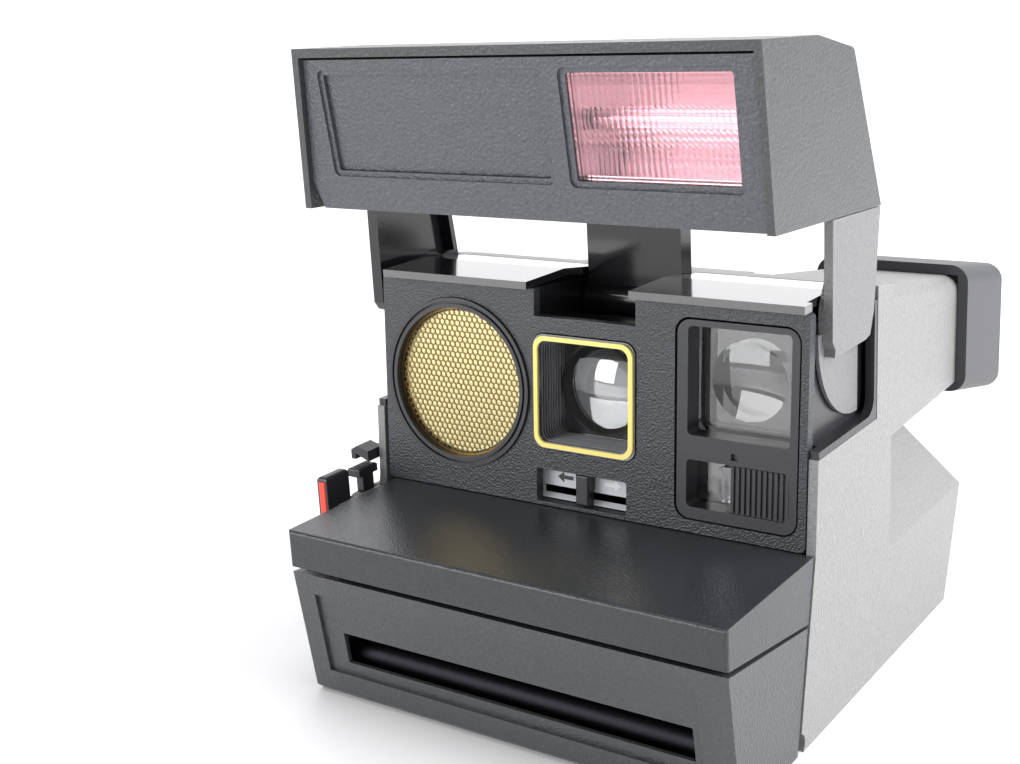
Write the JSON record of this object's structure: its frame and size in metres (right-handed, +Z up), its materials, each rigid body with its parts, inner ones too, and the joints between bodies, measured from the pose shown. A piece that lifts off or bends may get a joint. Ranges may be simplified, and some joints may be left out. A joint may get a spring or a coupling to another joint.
{
  "type": "instant camera",
  "caption": "Folding-flash instant film camera with a sonar rangefinder disc, hooded lens, viewfinder tube and drop-down film door.",
  "frame": {"origin": "centre of the flat base, on the surface it stands on", "axes": "+Z up, -Y towards the subject, +Y towards the user, +X the viewfinder side, -X the grip side"},
  "size_m": [0.1296, 0.1592, 0.1532],
  "materials": {
    "shell_grey": "finely textured",
    "satin_black": "satin",
    "steel": "satin",
    "smooth_black": "polished",
    "shell_black": "finely textured",
    "face_black": "coarse leather grain",
    "gold_mesh": "satin",
    "gold_foil": "polished",
    "yellow": "gloss",
    "clear_glass": "polished",
    "inner_black": "matt",
    "clear_plastic": "moulded",
    "rubber_grey": "smooth",
    "white": "printed",
    "red": "gloss",
    "chrome": "polished",
    "gear_white": "moulded",
    "brass_contact": "satin",
    "mirror": "polished",
    "board_green": "printed circuit",
    "capacitor_sleeve": "shrink sleeve",
    "flash_diffuser": "ribbed",
    "aluminium": "satin"
  },
  "bodies": {
    "camera_body": {"rear_shell": "shell_grey", "base_plate": "satin_black", "base_screws": "steel", "top_plate": "smooth_black", "shelf_cover": "shell_black", "bay_liner_finder_side": "satin_black", "bay_liner_grip_side": "satin_black", "hinge_trough": "smooth_black", "hinge_pins": "steel", "face_plate": "face_black", "sonar_bezel": "satin_black", "sonar_grille": "gold_mesh", "sonar_transducer": "gold_foil", "lens_bezel": "yellow", "lens_shroud": "satin_black", "front_lens": "clear_glass", "shutter_housing": "inner_black", "finder_bezel": "satin_black", "finder_front_lens": "clear_plastic", "finder_tunnel": "inner_black", "finder_eye_lens": "clear_plastic", "eyecup": "rubber_grey", "photocell": "clear_plastic", "exposure_scale": "white", "strap_lug": "satin_black", "film_chamber": "inner_black", "motor": "chrome", "battery_contacts": "brass_contact", "mirror": "mirror", "main_board": "board_green", "flash_capacitor": "capacitor_sleeve", "counter_window": "clear_plastic"},
    "flash_unit": {"flash_shell": "shell_black", "flash_front_panel": "face_black", "flash_name_plate": "satin_black", "flash_lens": "flash_diffuser", "flash_reflector": "aluminium", "flash_tube": "clear_glass", "flash_floor": "smooth_black", "flash_arm_finder_side": "shell_grey", "flash_arm_grip_side": "shell_black", "flash_strut": "smooth_black"},
    "door": {"film_door": "shell_black", "roller_bracket": "steel"},
    "lower_roller": {"roller_lower": "steel", "roller_gear": "gear_white"},
    "upper_roller": {"roller_upper": "steel"},
    "drive_gear_body": {"drive_gear": "gear_white"},
    "idler_gear_body": {"idler_gear": "gear_white"},
    "pinion_body": {"motor_pinion": "gear_white"},
    "pick": {"pick_arm": "steel"},
    "latch": {"door_latch": "satin_black"},
    "shutter_key": {"shutter_button": "satin_black", "shutter_button_face": "red"},
    "override_key": {"override_button": "satin_black"},
    "exposure_knob": {"exposure_slider": "satin_black"},
    "focus_wheel": {"focus_disc": "clear_plastic"},
    "blade_left": {"shutter_blade_left": "inner_black"},
    "blade_right": {"shutter_blade_right": "inner_black"},
    "counter": {"counter_dial": "white"}
  },
  "joints": [
    {"name": "flash_fold", "type": "hinge", "parent": "camera_body", "child": "flash_unit", "pos_m": [0, 0.0035, 0.089], "axis": [1, 0, 0], "range_deg": [0, 83.5]},
    {"name": "door_swing", "type": "hinge", "parent": "camera_body", "child": "door", "pos_m": [0, -0.033, 0.00215], "axis": [1, 0, 0], "range_deg": [0, 70]},
    {"name": "lower_roller_turn", "type": "hinge", "parent": "door", "child": "lower_roller", "pos_m": [0, -0.0546, 0.0104], "axis": [1, 0, 0], "continuous": true},
    {"name": "upper_roller_turn", "type": "hinge", "parent": "door", "child": "upper_roller", "pos_m": [0, -0.0546, 0.018], "axis": [1, 0, 0], "continuous": true},
    {"name": "drive_turn", "type": "hinge", "parent": "camera_body", "child": "drive_gear_body", "pos_m": [0, -0.05012, 0.02207], "axis": [1, 0, 0], "continuous": true},
    {"name": "idler_turn", "type": "hinge", "parent": "camera_body", "child": "idler_gear_body", "pos_m": [0, -0.03603, 0.0272], "axis": [1, 0, 0], "continuous": true},
    {"name": "pinion_turn", "type": "hinge", "parent": "camera_body", "child": "pinion_body", "pos_m": [0, -0.02814, 0.03336], "axis": [1, 0, 0], "continuous": true},
    {"name": "pick_slide", "type": "slide", "parent": "camera_body", "child": "pick", "axis": [0, -1, 0], "range_m": [0, 0.005]},
    {"name": "latch_slide", "type": "slide", "parent": "camera_body", "child": "latch", "axis": [0, 1, 0], "range_m": [0, 0.004]},
    {"name": "shutter_press", "type": "slide", "parent": "camera_body", "child": "shutter_key", "axis": [0, 1, 0], "range_m": [0, 0.0025], "stiffness_N_per_m": 200},
    {"name": "override_press", "type": "slide", "parent": "camera_body", "child": "override_key", "axis": [0, 1, 0], "range_m": [0, 0.0015], "stiffness_N_per_m": 200},
    {"name": "exposure_slide", "type": "slide", "parent": "camera_body", "child": "exposure_knob", "axis": [1, 0, 0], "range_m": [-0.005, 0.005]},
    {"name": "focus_turn", "type": "hinge", "parent": "camera_body", "child": "focus_wheel", "pos_m": [0.001, -0.00128, 0.06117], "axis": [0, 0.9978, -0.0663], "range_deg": [0, 270]},
    {"name": "blade_right_slide", "type": "slide", "parent": "camera_body", "child": "blade_right", "axis": [1, 0, 0], "range_m": [0, 0.007]},
    {"name": "blade_left_slide", "type": "slide", "parent": "camera_body", "child": "blade_left", "axis": [-1, 0, 0], "range_m": [0, 0.007]},
    {"name": "counter_turn", "type": "hinge", "parent": "camera_body", "child": "counter", "pos_m": [-0.038, 0.0614, 0.01548], "axis": [0, 0.9421, -0.3353], "range_deg": [0, 324]}
  ],
  "couplings": [
    {"joint": "upper_roller_turn", "follows": "lower_roller_turn", "ratio": -1},
    {"joint": "drive_turn", "follows": "lower_roller_turn", "ratio": -0.66667},
    {"joint": "idler_turn", "follows": "lower_roller_turn", "ratio": 0.66667},
    {"joint": "pinion_turn", "follows": "lower_roller_turn", "ratio": -2},
    {"joint": "blade_left_slide", "follows": "blade_right_slide", "ratio": 1}
  ]
}
